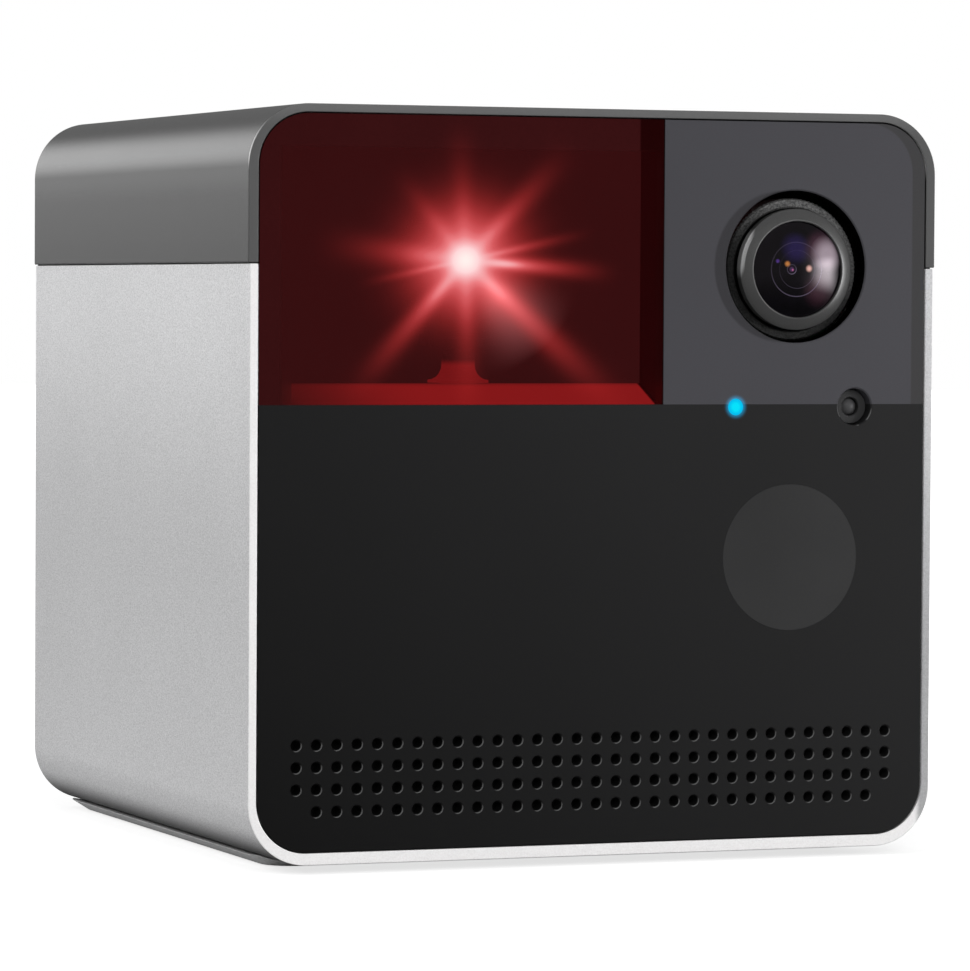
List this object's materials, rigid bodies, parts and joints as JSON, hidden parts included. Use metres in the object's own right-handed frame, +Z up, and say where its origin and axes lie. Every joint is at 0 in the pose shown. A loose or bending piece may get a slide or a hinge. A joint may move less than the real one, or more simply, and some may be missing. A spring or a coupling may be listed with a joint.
{
  "type": "pet camera",
  "caption": "Cube-shaped pet camera with a wide-angle lens, a dark red window with a turning laser pointer behind it, a light sensor, an infrared window and a speaker grille.",
  "frame": {"origin": "centre of the bounding box at the underside of the foot pad", "axes": "+X to the right of a viewer who faces the camera's front, +Y from the front towards the back, +Z up"},
  "size_m": [0.081, 0.0834, 0.0827],
  "materials": {
    "silver_metal": "bead-blasted, clear anodised",
    "grey_plastic": "satin moulded",
    "black_plastic": "satin black, moulded",
    "red_window": "clear dark red, polished",
    "red_plastic": "moulded, dark red",
    "dark_plastic": "moulded, near black",
    "grey_rubber": "matt",
    "brass": "machined",
    "steel": "plain",
    "black_metal": "black anodised",
    "ring_metal": "dark, turned",
    "black_steel": "black oxide",
    "lens_glass": "coated, polished",
    "filter_glass": "coated, polished",
    "clear_plastic": "clear, moulded",
    "infrared_plastic": "dark, lets infrared through",
    "gear_plastic": "natural moulded",
    "circuit_board": "solder mask",
    "chip": "moulded",
    "cloth": "open weave",
    "cone_paper": "pressed, matt",
    "magnet_steel": "plated"
  },
  "bodies": {
    "case": {"button_board": "circuit_board", "button_switch": "chip", "camera_board": "circuit_board", "focus_ring": "black_metal", "foot_pad": "grey_rubber", "front_board": "circuit_board", "front_panel": "black_plastic", "grille_cloth": "cloth", "heat_sink": "black_metal", "image_sensor": "chip", "inner_chassis": "dark_plastic", "ir_led_1": "clear_plastic", "ir_led_2": "clear_plastic", "ir_led_3": "clear_plastic", "ir_window": "infrared_plastic", "laser_housing": "red_plastic", "laser_window": "red_window", "lens_barrel": "black_metal", "lens_glass": "lens_glass", "lens_holder": "dark_plastic", "lens_ring": "ring_metal", "light_sensor": "chip", "lower_shell": "silver_metal", "main_board": "circuit_board", "microphone": "steel", "motor_bracket": "dark_plastic", "pan_bush": "brass", "pan_motor": "steel", "pan_pedestal": "red_plastic", "power_board": "circuit_board", "rear_cover": "black_plastic", "rear_screw_1": "black_steel", "rear_screw_2": "black_steel", "rear_screw_3": "black_steel", "rear_screw_4": "black_steel", "sensor_cup": "dark_plastic", "speaker_box": "dark_plastic", "speaker_frame": "steel", "speaker_magnet": "magnet_steel", "status_led": "clear_plastic", "status_light_pipe": "clear_plastic", "top_cover": "grey_plastic", "tripod_nut": "brass", "usb_port": "steel", "wifi_antenna": "circuit_board", "window_bezel": "red_plastic"},
    "turret": {"pan_yoke": "dark_plastic", "pan_shaft": "steel", "pan_gear": "gear_plastic", "tilt_motor": "steel"},
    "pan_drive": {"pan_pinion": "brass"},
    "head": {"laser_barrel": "black_metal", "laser_diode": "brass", "laser_lens": "lens_glass", "tilt_gear": "gear_plastic"},
    "tilt_drive": {"tilt_pinion": "brass"},
    "filter": {"ir_cut_filter": "filter_glass"},
    "cone": {"speaker_cone": "cone_paper"},
    "button": {"setup_button": "dark_plastic"}
  },
  "joints": [
    {"name": "laser_pan", "type": "hinge", "parent": "case", "child": "turret", "pos_m": [-0.012, -0.0285, 0.0566], "axis": [0, 0, 1], "range_deg": [-40, 40]},
    {"name": "pan_pinion_spin", "type": "hinge", "parent": "case", "child": "pan_drive", "pos_m": [-0.0036, -0.0285, 0.0473], "axis": [0, 0, 1], "range_deg": [-101, 101]},
    {"name": "laser_tilt", "type": "hinge", "parent": "turret", "child": "head", "pos_m": [-0.012, -0.0285, 0.06605], "axis": [1, 0, 0], "range_deg": [-10, 30]},
    {"name": "tilt_pinion_spin", "type": "hinge", "parent": "turret", "child": "tilt_drive", "pos_m": [-0.012, -0.0285, 0.06005], "axis": [1, 0, 0], "range_deg": [-71, 24]},
    {"name": "ir_filter_slide", "type": "slide", "parent": "case", "child": "filter", "axis": [1, 0, 0], "range_m": [0, 0.0054]},
    {"name": "cone_travel", "type": "slide", "parent": "case", "child": "cone", "axis": [0, 1, 0], "range_m": [-0.0003, 0.0003], "stiffness_N_per_m": 1000},
    {"name": "button_press", "type": "slide", "parent": "case", "child": "button", "axis": [0, -1, 0], "range_m": [0, 0.0005], "stiffness_N_per_m": 1500}
  ],
  "couplings": [
    {"joint": "pan_pinion_spin", "follows": "laser_pan", "ratio": -2.5},
    {"joint": "tilt_pinion_spin", "follows": "laser_tilt", "ratio": -2.3333}
  ]
}
